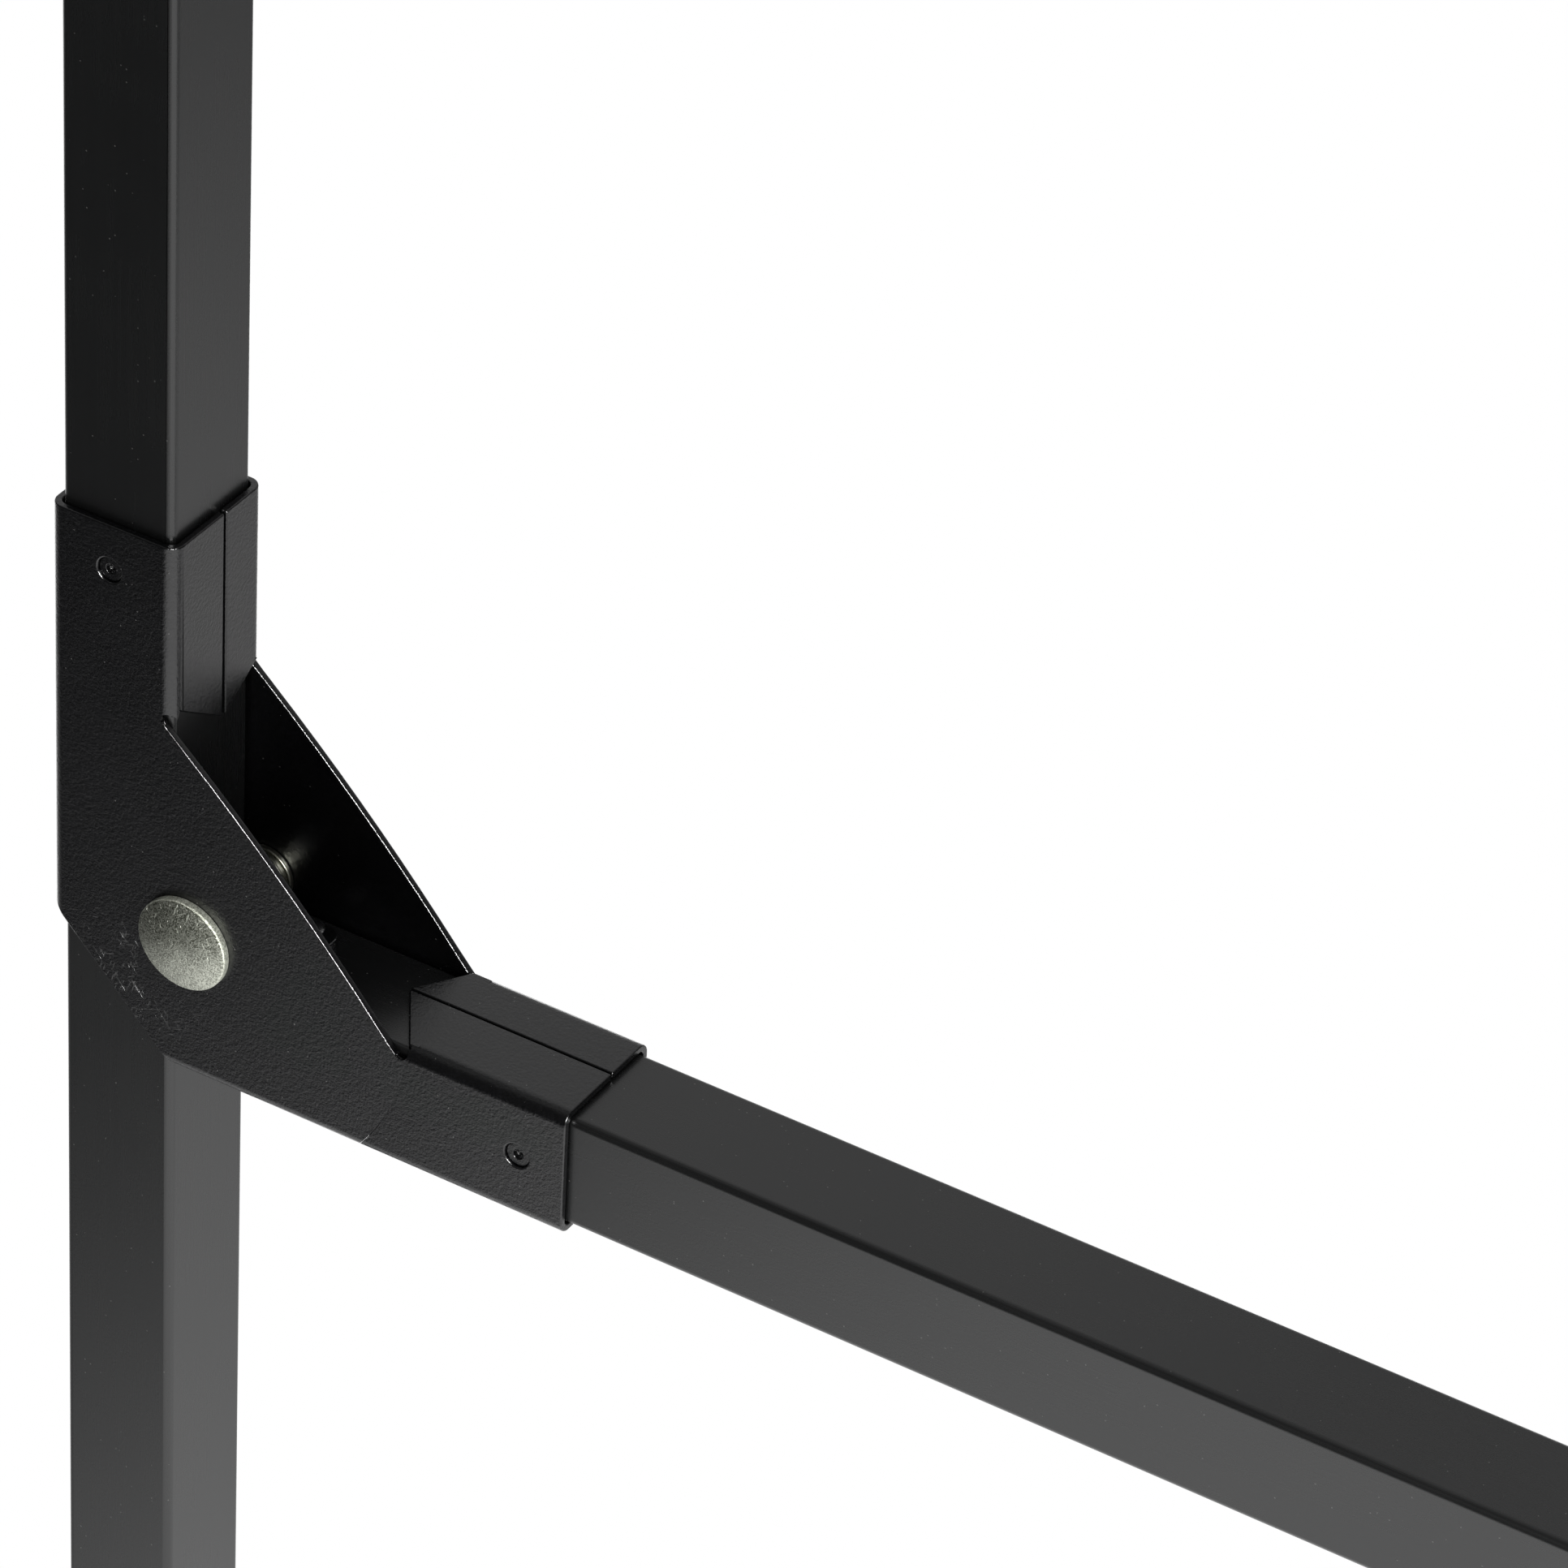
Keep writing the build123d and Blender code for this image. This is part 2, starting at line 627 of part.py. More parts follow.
# ---- rods and the bushes that hold their ends -------------------------------------------------
with BuildPart() as rod_bushes:
    for x in rod_places:
        with BuildSketch(across(x, arm_middle, inner_face)):
            Circle(bush_flange_radius)
        extrude(amount=bush_flange)
        with BuildSketch(across(x, arm_middle, inner_face)):
            Circle(rod_radius + bush_wall + bush_fit)
        extrude(amount=-rod_seat - bush_floor)
        with BuildSketch(across(x, arm_middle, inner_face - rod_seat)):
            Circle(rod_radius + bush_fit)
        extrude(amount=rod_seat + bush_flange, mode=Mode.SUBTRACT)
keep_pair(rod_bushes.part, "rod_bushes")

rod_half = -inner_face + rod_seat
for number, x in enumerate(rod_places, start=1):
    with BuildPart() as rod:
        with BuildSketch(Plane.XZ):
            with Locations((x, arm_middle)):
                Circle(rod_radius)
                Circle(rod_radius - rod_wall, mode=Mode.SUBTRACT)
        extrude(amount=rod_half, both=True)
    keep(rod.part, f"rod_{number}")
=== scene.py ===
# %% [markdown]
# # A wall mounted drying rack that folds down on two pressed steel hinge brackets
# The rack is two square posts on the wall and a frame of two square arms with seven rods. The packed
# model already has every piece in its right place and size. This lesson gives those pieces rounded
# edges, real finishes, a camera and soft light.

import json
from math import cos, pi, radians, sin

import bmesh
import bpy
import numpy as np
from mathutils import Matrix, Vector
from mathutils.bvhtree import BVHTree

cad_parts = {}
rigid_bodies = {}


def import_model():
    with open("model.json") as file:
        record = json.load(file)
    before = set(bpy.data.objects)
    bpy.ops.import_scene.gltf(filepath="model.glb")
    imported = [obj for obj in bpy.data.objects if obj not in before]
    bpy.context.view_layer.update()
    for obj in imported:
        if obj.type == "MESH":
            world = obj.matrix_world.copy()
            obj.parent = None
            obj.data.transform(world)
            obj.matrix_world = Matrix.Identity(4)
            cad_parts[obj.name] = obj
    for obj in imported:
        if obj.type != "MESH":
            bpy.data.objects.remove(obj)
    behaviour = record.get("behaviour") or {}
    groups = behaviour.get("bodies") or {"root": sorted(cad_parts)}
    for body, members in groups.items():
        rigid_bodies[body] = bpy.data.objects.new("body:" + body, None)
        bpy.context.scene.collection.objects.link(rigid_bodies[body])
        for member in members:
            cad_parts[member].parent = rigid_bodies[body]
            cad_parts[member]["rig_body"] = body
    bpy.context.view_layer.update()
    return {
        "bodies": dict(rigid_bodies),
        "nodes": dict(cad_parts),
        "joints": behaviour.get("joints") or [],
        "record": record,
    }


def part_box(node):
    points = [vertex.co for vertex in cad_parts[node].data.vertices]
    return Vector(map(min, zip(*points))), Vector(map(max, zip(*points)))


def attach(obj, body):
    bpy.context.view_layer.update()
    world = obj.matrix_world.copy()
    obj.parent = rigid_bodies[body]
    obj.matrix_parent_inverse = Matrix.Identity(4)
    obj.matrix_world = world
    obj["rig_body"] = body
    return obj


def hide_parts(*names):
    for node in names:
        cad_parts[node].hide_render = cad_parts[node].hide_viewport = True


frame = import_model()
nodes, bodies = frame["nodes"], frame["bodies"]
body_of_node = {name: node["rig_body"] for name, node in nodes.items()}
slot_of_node = {part["node"]: part["material_slot"] for part in frame["record"]["subparts"]}
mm = 0.001

# %% [markdown]
# ## Where things are
# Sizes are read from the pieces' own boxes, so nothing has to be typed twice. The pivot is the
# hinge joint's own point, and the tube's side is the width of a post.

# %% Places
pivot = Vector(frame["joints"][0]["pos_m"])
post_low, post_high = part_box("post_left")
arm_low, arm_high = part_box("arm_left")
tube = post_high.x - post_low.x
side_y = (post_low.y + post_high.y) / 2
post_front = post_high.x
arm_top = arm_high.z
print("pivot", [round(v, 4) for v in pivot], "tube", round(tube, 4), "arm top", round(arm_top, 4))

# %% [markdown]
# ## Shader maths as Python
# A finish is a small graph of nodes. Writing it as sums and products is easier to read, so one class
# wraps a socket and gives it the usual operators. Every operator adds a Math node to the graph.


# %% A socket with operators
class Wire:
    """A number that varies over the surface: an output socket with arithmetic."""

    def __init__(self, finish, socket):
        self.finish, self.socket = finish, socket

    def math(self, operation, first, second):
        return self.finish.node("Math", {"operation": operation}, {0: first, 1: second})[0]

    def __add__(self, other):
        return self.math("ADD", self, other)

    def __sub__(self, other):
        return self.math("SUBTRACT", self, other)

    def __rsub__(self, other):
        return self.math("SUBTRACT", other, self)

    def __mul__(self, other):
        return self.math("MULTIPLY", self, other)

    __radd__, __rmul__ = __add__, __mul__


class Finish:
    """A material and its graph. node() adds any node: its type, its settings, its inputs."""

    def __init__(self, name):
        self.material = bpy.data.materials.new(name)
        self.material.use_nodes = True
        self.tree = self.material.node_tree
        self.shader = self.tree.nodes["Principled BSDF"]
        self.place = Wire(self, self.node("TexCoord")["Object"].socket)

    def node(self, kind, settings=None, inputs=None):
        made = self.tree.nodes.new("ShaderNode" + kind)
        for name, value in (settings or {}).items():
            setattr(made, name, value)
        self.feed(made, inputs or {})
        return Outputs(self, made)

    def feed(self, made, inputs):
        for name, value in inputs.items():
            if isinstance(value, Wire):
                self.tree.links.new(value.socket, made.inputs[name])
            else:
                made.inputs[name].default_value = value

    def surface(self, **inputs):
        """Sets the shader's sockets; an underscore in a name stands for a space."""
        self.feed(self.shader, {name.replace("_", " "): value for name, value in inputs.items()})
        return self.material


class Outputs:
    """A node's outputs by name or number, each one as a Wire."""

    def __init__(self, finish, made):
        self.finish, self.made = finish, made

    def __getitem__(self, name):
        return Wire(self.finish, self.made.outputs[name])


# %% [markdown]
# ## Patterns that several finishes share
# Noise gives clouds, a threshold on Voronoi distance gives specks of dust, and a mapping that
# squeezes one direction turns clouds into the long faint streaks of a drawn tube.


# %% Shared patterns
def mapped(finish, scale, centre=(0, 0, 0)):
    """Object coordinates moved so that centre is the origin, then scaled on each axis."""
    moved = finish.node("VectorMath", {"operation": "SUBTRACT"}, {0: finish.place, 1: centre})
    scaled = finish.node("VectorMath", {"operation": "MULTIPLY"}, {0: moved["Vector"], 1: scale})
    return scaled["Vector"]


def noise(finish, place, per_metre, detail=2.0, roughness=0.5):
    """Clouds from 0 to 1, so many of them in a metre."""
    inputs = {"Vector": place, "Scale": per_metre, "Detail": detail, "Roughness": roughness}
    return finish.node("TexNoise", {}, inputs)["Fac"]


def band(finish, value, low, high):
    """0 below low, 1 above high, and a smooth step between them."""
    inputs = {"Value": value, "From Min": low, "From Max": high}
    return finish.node("MapRange", {"interpolation_type": "SMOOTHSTEP"}, inputs)["Result"]


def specks(finish, per_metre, radius, share, aside=0.0):
    """Round dots: near a cell's point, but only in the cells whose random value is under share.
    The radius is in cells, and aside moves the pattern so that two of them differ."""
    core, share_step = 0.6, 0.01
    spots = mapped(finish, (per_metre,) * 3, (aside, aside, aside))
    cell = finish.node("TexVoronoi", {"feature": "F1"}, {"Vector": spots, "Scale": 1.0})
    split = finish.node("SeparateColor", {}, {"Color": cell["Color"]})
    dot = 1 - band(finish, cell["Distance"], radius * core, radius)
    return dot * (1 - band(finish, split["Red"], share, share + share_step))


def strokes(finish, way, across, along, least):
    """Short straight scratches at an angle in the XZ plane: a noise drawn out along them, where it is
    above a threshold. Across and along count the scratches in a metre."""
    threshold_step = 0.05
    lean = (cos(radians(way)), 0.0, sin(radians(way)))
    square = (-lean[2], 0.0, lean[0])
    run, side = (
        finish.node("VectorMath", {"operation": "DOT_PRODUCT"}, {0: finish.place, 1: line})["Value"]
        for line in (lean, square)
    )
    spot = vector(finish, run * along, side * across, float(way))
    return band(finish, noise(finish, spot, 1.0), least, least + threshold_step)


def all_of(pattern, finish, rows):
    """The sum of one pattern over several rows of its numbers."""
    total = pattern(finish, *rows[0])
    for row in rows[1:]:
        total = total + pattern(finish, *row)
    return total


def blend(finish, amount, low, high):
    """A colour between two, by amount."""
    inputs = {"Factor": amount, 6: low, 7: high}
    return finish.node("Mix", {"data_type": "RGBA"}, inputs)[2]


def bump(finish, height, distance, strength):
    """A height in metres, drawn as a tilt of the surface."""
    inputs = {"Height": height, "Distance": distance, "Strength": strength}
    return finish.node("Bump", {}, inputs)["Normal"]


def far_from(finish, spot, scale=(1, 1, 1)):
    """The distance from a spot, with each axis scaled first."""
    return finish.node("VectorMath", {"operation": "LENGTH"}, {0: mapped(finish, scale, spot)})["Value"]


def vector(finish, x, y, z):
    return finish.node("CombineXYZ", {}, {"X": x, "Y": y, "Z": z})["Vector"]


def axes(finish, place):
    """The three parts of a vector, by the names X, Y and Z."""
    return finish.node("SeparateXYZ", {}, {"Vector": place})


# %% [markdown]
# ## Satin paint on the tubes
# The tubes are cold drawn, so the paint lies over faint lines that run along the tube. There is one
# finish for each direction, because the lines follow the tube. Two sizes of dust lie on the paint.


# %% Tube paint
paint_dark, paint_light = (0.0115, 0.0122, 0.0124, 1), (0.0190, 0.0197, 0.0200, 1)
paint_dust = (0.16, 0.16, 0.155, 1)
paint_index = 1.5
line_stretch = 50
# each row is the cells in a metre, the dot's radius in cells, the share of cells, and a shift
dust_on_paint = ((380.0, 0.065, 0.2), (800.0, 0.15, 0.08, 5.3))


def tube_paint(name, along):
    finish = Finish(name)
    squeeze = [1.0, 1.0, 1.0]
    squeeze[along] = 1 / line_stretch
    lines = noise(finish, mapped(finish, tuple(squeeze)), per_metre=900.0, detail=3.0, roughness=0.6)
    clouds = noise(finish, finish.place, per_metre=40.0, detail=3.0)
    grain = noise(finish, finish.place, per_metre=2600.0, detail=2.0)
    dust = all_of(specks, finish, dust_on_paint)
    shade = blend(finish, clouds * 0.5 + grain * 0.5, paint_dark, paint_light)
    return finish.surface(
        Base_Color=blend(finish, dust, shade, paint_dust),
        Roughness=0.22 + 0.05 * clouds + 0.05 * lines,
        Normal=bump(finish, lines * 0.1 + grain * 0.5, 0.05 * mm, 0.5),
        IOR=paint_index,
    )


post_paint = tube_paint("satin_paint_upright", 2)
arm_paint = tube_paint("satin_paint_outward", 0)
rod_paint = tube_paint("satin_paint_across", 1)


# %% [markdown]
# ## Glossy powder coat on the pressed sheet
# Powder flows together as it melts and leaves a shallow orange peel under a finer grain. Where the
# sheet was handled the gloss is scuffed: short scratches in three directions, in patches by the cut
# edge below and behind the pivot.


# %% Powder coat
coat_dark, coat_light = (0.0010, 0.0011, 0.0018, 1), (0.0140, 0.0143, 0.0160, 1)
coat_dust = (0.20, 0.20, 0.195, 1)
scuff_middle = (pivot.x - 13 * mm, 0, pivot.z - 13 * mm)
scuff_inner, scuff_outer = 6 * mm, 20 * mm
dust_on_coat = ((430.0, 0.075, 0.18), (800.0, 0.15, 0.08, 3.7))
# each row is an angle, the scratches in a metre across and along, and the threshold
scuff_lines = ((128, 1500.0, 190.0, 0.61), (20, 1700.0, 260.0, 0.63), (75, 1900.0, 330.0, 0.63))


def powder_coat(name):
    finish = Finish(name)
    peel = noise(finish, finish.place, per_metre=1250.0, detail=3.0, roughness=0.6)
    fine = noise(finish, finish.place, per_metre=1900.0, detail=3.0, roughness=0.7)
    clouds = noise(finish, finish.place, per_metre=55.0, detail=2.0)
    dust = all_of(specks, finish, dust_on_coat)
    rubbed = 1 - band(finish, far_from(finish, scuff_middle, (1, 0, 1)), scuff_inner, scuff_outer)
    patches = band(finish, noise(finish, finish.place, per_metre=160.0, detail=2.0), 0.46, 0.62)
    scuff = all_of(strokes, finish, scuff_lines) * patches * rubbed
    marks = dust + scuff * 0.3
    mottle = band(finish, fine * 0.8 + peel * 0.2, 0.36, 0.66) * 0.85 + clouds * 0.15
    shade = blend(finish, mottle, coat_dark, coat_light)
    return finish.surface(
        Base_Color=blend(finish, marks, shade, coat_dust),
        Roughness=0.17 + 0.07 * clouds + 0.2 * scuff,
        Normal=bump(finish, peel * 0.7 + fine * 0.6 - scuff * 0.5, 0.14 * mm, 0.8),
        IOR=paint_index,
    )


bracket_coat = powder_coat("gloss_powder_coat")


# %% [markdown]
# ## Zinc plated steel
# The bolt's head has turning marks round its axis and short handling scratches. Polar coordinates
# about the pivot make the rings: distance from the axis gives the ring, noise breaks it up. A painted
# highlight makes the head's lower part and its rim brighter; the rest is dull, with bright scratches in
# it.


# %% Turned steel with a painted highlight
# dull is the head's own tone; the brighter pair colours the real nicks and also the painted highlight on
# the head's lower part and rim
dull_dark, dull_light = (0.040, 0.042, 0.030, 1), (0.085, 0.088, 0.068, 1)
nick_and_highlight_dark, nick_and_highlight_light = (0.34, 0.35, 0.29, 1), (0.66, 0.68, 0.60, 1)
# where the painted highlight on the head's lower part starts and where it is full
painted_highlight_start, painted_highlight_end = -2 * mm, 8 * mm
wall_start, wall_end = 9.6 * mm, 9.9 * mm
rings_per_metre, spokes_per_radian, pits_per_metre = 5200.0, 22.0, 1900.0
# each row is an angle, the scratches in a metre across and along, and the threshold
head_nicks = ((35, 1900.0, 260.0, 0.66), (110, 2200.0, 330.0, 0.66), (75, 1700.0, 230.0, 0.68))


def bolt_head_steel(name):
    """Rings and radial scratches from polar coordinates about the pivot, pits from Voronoi cells."""
    finish = Finish(name)
    flat = mapped(finish, (1, 0, 1), (pivot.x, 0, pivot.z))
    radius = finish.node("VectorMath", {"operation": "LENGTH"}, {0: flat})["Value"]
    split = axes(finish, flat)
    turn = split["Z"].math("ARCTAN2", split["Z"], split["X"])
    ring_place = vector(finish, radius * rings_per_metre, turn * 1.2, 0.0)
    rings = noise(finish, ring_place, 1.0, detail=3.0, roughness=0.6)
    spoke_place = vector(finish, radius * 330.0, turn * spokes_per_radian, 3.0)
    spokes = noise(finish, spoke_place, 1.0, detail=4.0, roughness=0.7)
    nicks = all_of(strokes, finish, head_nicks)
    clouds = noise(finish, finish.place, per_metre=170.0, detail=4.0, roughness=0.6)
    grit = noise(finish, finish.place, per_metre=2900.0, detail=4.0, roughness=0.75)
    cell_inputs = {"Vector": finish.place, "Scale": pits_per_metre}
    cells = finish.node("TexVoronoi", {"feature": "F1"}, cell_inputs)
    pits = band(finish, cells["Distance"], 0.0, 0.28)
    # painted highlight: the head's lower right, and its rim wall, are made brighter in the base colour
    # to stand for the light that falls on them
    downward = split["X"] * 0.3 - split["Z"] * 0.9 + clouds * (3 * mm)
    painted_highlight = band(finish, downward, painted_highlight_start, painted_highlight_end)
    wall = band(finish, radius, wall_start, wall_end)
    dull = blend(finish, clouds, dull_dark, dull_light)
    nick_and_highlight_colour = blend(finish, grit, nick_and_highlight_dark, nick_and_highlight_light)
    sparkle = band(finish, grit + spokes * 0.45, 0.66, 0.78)
    # brightness here is partly painted highlight (lower part and rim wall) and partly real nicks and
    # grain
    bright = painted_highlight * 0.4 + wall * 0.3 + sparkle * (0.4 + painted_highlight * 0.3) + nicks * (0.55 + painted_highlight * 0.3)
    height = grit * 0.9 + rings * 0.35 + spokes * 0.5 + pits * 0.3 - nicks * 0.3
    return finish.surface(
        Base_Color=blend(finish, bright, dull, nick_and_highlight_colour),
        Metallic=1.0,
        Roughness=0.24 + 0.22 * grit - 0.05 * painted_highlight + 0.25 * wall,
        Normal=bump(finish, height, 0.14 * mm, 0.8),
    )


bolt_steel = bolt_head_steel("plated_bolt")


# %% [markdown]
# ## Plain plated steel
# The washers, nuts and screws have the same plating without the turning marks. Fine grit dulls it and
# faint upright scratches cross it.


# %% Plated steel
def plated_steel(name, low, high, rough):
    finish = Finish(name)
    clouds = noise(finish, finish.place, per_metre=160.0, detail=4.0, roughness=0.6)
    grit = noise(finish, finish.place, per_metre=1900.0, detail=4.0, roughness=0.7)
    scratch = noise(finish, mapped(finish, (1.0, 1.0, 0.06)), per_metre=2400.0, detail=2.0)
    return finish.surface(
        Base_Color=blend(finish, clouds, low, high),
        Metallic=1.0,
        Roughness=rough + 0.18 * grit,
        Normal=bump(finish, grit * 0.7 + scratch * 0.3, 0.03 * mm, 0.5),
    )


ring_steel = plated_steel("plated_washer", (0.12, 0.12, 0.10, 1), (0.24, 0.24, 0.20, 1), 0.2)
screw_steel = plated_steel("plated_screw", (0.40, 0.41, 0.40, 1), (0.56, 0.57, 0.56, 1), 0.2)


# %% [markdown]
# ## Moulded plastic and rubber
# Moulded parts have a fine spark eroded grain from the mould, which is only a bump and a slightly
# uneven gloss.


# %% Plastic and rubber
def moulded(name, colour, rough, grain):
    """A colour that varies in clouds up to a third lighter, with so many grain bumps in a metre."""
    finish = Finish(name)
    texture = noise(finish, finish.place, grain, 2.0, 0.6)
    clouds = noise(finish, finish.place, per_metre=90.0)
    lighter = tuple(1.35 * part for part in colour[:3]) + (1,)
    return finish.surface(
        Base_Color=blend(finish, clouds, colour, lighter),
        Roughness=rough + 0.1 * texture,
        Normal=bump(finish, texture, 0.04 * mm, 0.4),
    )


plug_plastic = moulded("moulded_plug", (0.012, 0.012, 0.013, 1), 0.42, 2200.0)
pad_rubber = moulded("pad_rubber", (0.014, 0.014, 0.014, 1), 0.62, 1500.0)

# %% [markdown]
# ## Which finish goes where
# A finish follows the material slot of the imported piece. Three tubes need their own, because the drawn
# lines in them don't stand upright.

# %% Finishes by slot
finish_of_slot = {
    "frame_tube": post_paint, "bracket": bracket_coat, "bolt": bolt_steel, "washer": ring_steel,
    "nut": screw_steel, "pin": bracket_coat, "plate": bracket_coat, "screw": screw_steel,
    "plastic": plug_plastic, "pad": pad_rubber, "leaf": bracket_coat, "rivet": arm_paint,
    "stop": plug_plastic, "bush": plug_plastic, "rod": rod_paint,
}
finish_of_node = {"arm_left": arm_paint, "arm_right": arm_paint, "top_rail": rod_paint}

# %% [markdown]
# ## Rounded edges
# A real edge is never perfectly sharp: paint pulls back from it and it catches the light as a thin
# bright line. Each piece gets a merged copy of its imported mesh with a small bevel, and the copy
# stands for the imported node. A bevel that is wider than a tiny neighbouring edge can shoot off the
# surface, so such places are found and left sharp.

# %% Where edges stay sharp
joint_radius, joint_play = 50.5 * mm, 0.4 * mm
notches = (Vector((post_front, arm_top + 54.2 * mm)), Vector((post_front + 53.4 * mm, arm_top)))
notch_reach = 1.9 * mm
stray_reach = 2.5 * mm


def stays_sharp(edge):
    """True where bracket and arm sleeve meet on an arc about the pivot, and in the small notches."""
    middle = (edge.verts[0].co + edge.verts[1].co) / 2
    spot = Vector((middle.x, middle.z))
    from_pivot = (spot - Vector((pivot.x, pivot.z))).length
    from_notch = min((spot - notch).length for notch in notches)
    return abs(from_pivot - joint_radius) < joint_play or from_notch < notch_reach


def sharpen_strays(piece, radius):
    """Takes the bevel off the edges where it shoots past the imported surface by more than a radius,
    and returns how many points did."""
    mesh = piece.data
    points = [vertex.co for vertex in mesh.vertices]
    packed = BVHTree.FromPolygons(points, [tuple(face.vertices) for face in mesh.polygons])
    shown = piece.evaluated_get(bpy.context.evaluated_depsgraph_get())
    rounded = shown.to_mesh()
    stray = {v.index for v in rounded.vertices if packed.find_nearest(v.co)[3] > radius}
    roots = []
    for edge in rounded.edges:
        first, second = edge.vertices
        if (first in stray) != (second in stray):
            roots.append(rounded.vertices[second if first in stray else first].co.copy())
    shown.to_mesh_clear()
    weights = mesh.attributes["bevel_weight_edge"].data
    for edge in mesh.edges:
        middle = (points[edge.vertices[0]] + points[edge.vertices[1]]) / 2
        if any((middle - root).length < stray_reach for root in roots):
            weights[edge.index].value = 0.0
    mesh.update()
    return len(stray)


# %% [markdown]
# ## Round every piece
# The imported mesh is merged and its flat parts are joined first, so a bevel meets clean edges. Only the
# edges that turn enough get one: the facets of a round part stay as they are.

# %% Round every piece
merge_distance = 0.002 * mm
flat_angle, edge_angle = radians(0.5), radians(28)
bevel_steps = 2
edge_radius = {"bracket": 0.34, "arm_sleeve": 0.34, "post_pins": 0.15, "arm_pins": 0.15}
usual_radius = 0.25
turned = ("pivot_bolt", "pivot_washers", "pivot_nut")


def place_piece(piece, node):
    """Puts a piece on the node's body, in the node's place, and hides the imported node."""
    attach(piece, body_of_node[node])
    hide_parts(node)


def rounded_copy(name, radius):
    """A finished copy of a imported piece, on its body and in its place."""
    mesh = nodes[name].data.copy()
    shape = bmesh.new()
    shape.from_mesh(mesh)
    bmesh.ops.remove_doubles(shape, verts=shape.verts, dist=merge_distance)
    bmesh.ops.dissolve_limit(shape, angle_limit=flat_angle, verts=shape.verts, edges=shape.edges)
    weight = shape.edges.layers.float.new("bevel_weight_edge")
    for edge in shape.edges:
        rounds = edge.calc_face_angle(0.0) > edge_angle and not stays_sharp(edge)
        edge[weight] = 1.0 if rounds else 0.0
    shape.to_mesh(mesh)
    shape.free()
    mesh.materials.clear()
    mesh.materials.append(finish_of_node.get(name, finish_of_slot[slot_of_node[name]]))
    mesh.shade_smooth()
    piece = bpy.data.objects.new(name + "_finished", mesh)
    bpy.context.scene.collection.objects.link(piece)
    bevel = piece.modifiers.new("rounded edges", "BEVEL")
    bevel.width, bevel.segments, bevel.limit_method = radius, bevel_steps, "WEIGHT"
    bevel.use_clamp_overlap = False
    for attempt in range(4):
        if not sharpen_strays(piece, radius * 1.2):
            break
    shading = piece.modifiers.new("flat faces stay flat", "WEIGHTED_NORMAL")
    shading.keep_sharp = True
    place_piece(piece, name)


rounded_count = 0
for name in nodes:
    family = name.removesuffix("_left").removesuffix("_right")
    if family not in turned:
        rounded_copy(name, edge_radius.get(family, usual_radius) * mm)
        rounded_count += 1
print(rounded_count, "pieces rounded")

# %% [markdown]
# ## The pivot's bolt, washers and nut
# These are turned, rolled and pressed pieces, so each one is a profile carried round the pivot's axis.
# A profile is a row of radii and a row of places along the axis; numpy turns both into a grid of
# points at once. The thread and the six flats only change the radius with the angle.

# %% From a grid of points to a piece
crease_angle = radians(38)


def skin(name, grid, ring=False, split=False):
    """Quads over rows and columns of points. Columns go round and close, unless split, when the two
    ends get a cap. Rows close too in a ring. A row of equal points becomes one pole."""
    rows, columns = grid.shape[:2]
    here = np.arange(rows * columns).reshape(rows, columns)
    beside, below = np.roll(here, -1, axis=1), np.roll(here, -1, axis=0)
    corners = np.stack([here, beside, np.roll(beside, -1, axis=0), below], axis=-1)
    corners = corners[: rows if ring else rows - 1, : columns - 1 if split else columns]
    faces = corners.reshape(-1, 4).tolist()
    if split:
        faces += [here[:, 0].tolist(), here[::-1, -1].tolist()]
    mesh = bpy.data.meshes.new(name)
    mesh.from_pydata(grid.reshape(-1, 3).tolist(), [], faces)
    shape = bmesh.new()
    shape.from_mesh(mesh)
    bmesh.ops.remove_doubles(shape, verts=shape.verts, dist=1e-7)
    bmesh.ops.recalc_face_normals(shape, faces=shape.faces)
    shape.to_mesh(mesh)
    shape.free()
    mesh.shade_smooth()
    mesh.set_sharp_from_angle(angle=crease_angle)
    return mesh


def carried_round(radius, along, turns, mirrored):
    """Points at a radius from the pivot's axis, at a place along Y, for every angle in turns."""
    x = pivot.x + radius * np.cos(turns)
    z = pivot.z + radius * np.sin(turns)
    y = along + 0 * turns
    return np.stack([x, -y if mirrored else y, z], axis=-1)


def arc(middle_radius, middle_along, size, first, last, steps=6):
    """A rounded corner of a profile: points on a small circle between two angles in degrees."""
    angle = np.radians(np.linspace(first, last, steps))
    return middle_radius + size * np.cos(angle), middle_along + size * np.sin(angle)


def profile(*stretches):
    """Joins stretches of (radii, places) into two columns, ready to meet a row of angles."""
    radii = np.concatenate([np.atleast_1d(np.asarray(r, float)) for r, _ in stretches])
    places = np.concatenate([np.atleast_1d(np.asarray(y, float)) for _, y in stretches])
    return radii[:, None], places[:, None]


def add_piece(name, meshes, node):
    """One piece from one or more meshes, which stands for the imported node."""
    shape = bmesh.new()
    for mesh in meshes:
        shape.from_mesh(mesh)
    whole = bpy.data.meshes.new(name)
    shape.to_mesh(whole)
    shape.free()
    whole.materials.append(finish_of_slot[slot_of_node[node]])
    piece = bpy.data.objects.new(name, whole)
    bpy.context.scene.collection.objects.link(piece)
    place_piece(piece, node)


# %% [markdown]
# ## The bolt
# The head is a shallow dome with a rolled rim. The shank ends in a thread, which is a groove whose
# place shifts by one pitch in a turn.

# %% Bolt
bolt_low, bolt_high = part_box("pivot_bolt_left")
plate_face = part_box("bracket_left")[0].y
nut_low, nut_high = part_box("pivot_nut_left")
head_radius = (bolt_high.x - bolt_low.x) / 2
head_rim = 1.6 * mm
head_dome = plate_face - head_rim - bolt_low.y
shank = 4.0 * mm
rim_round, rim_lean, under_round = 0.42 * mm, 72.0, 0.2 * mm
thread_groove, thread_pitch, thread_taper = 0.35 * mm, 1.25 * mm, 0.6 * mm
round_turn = np.linspace(0, 2 * pi, 144, endpoint=False)[None, :]


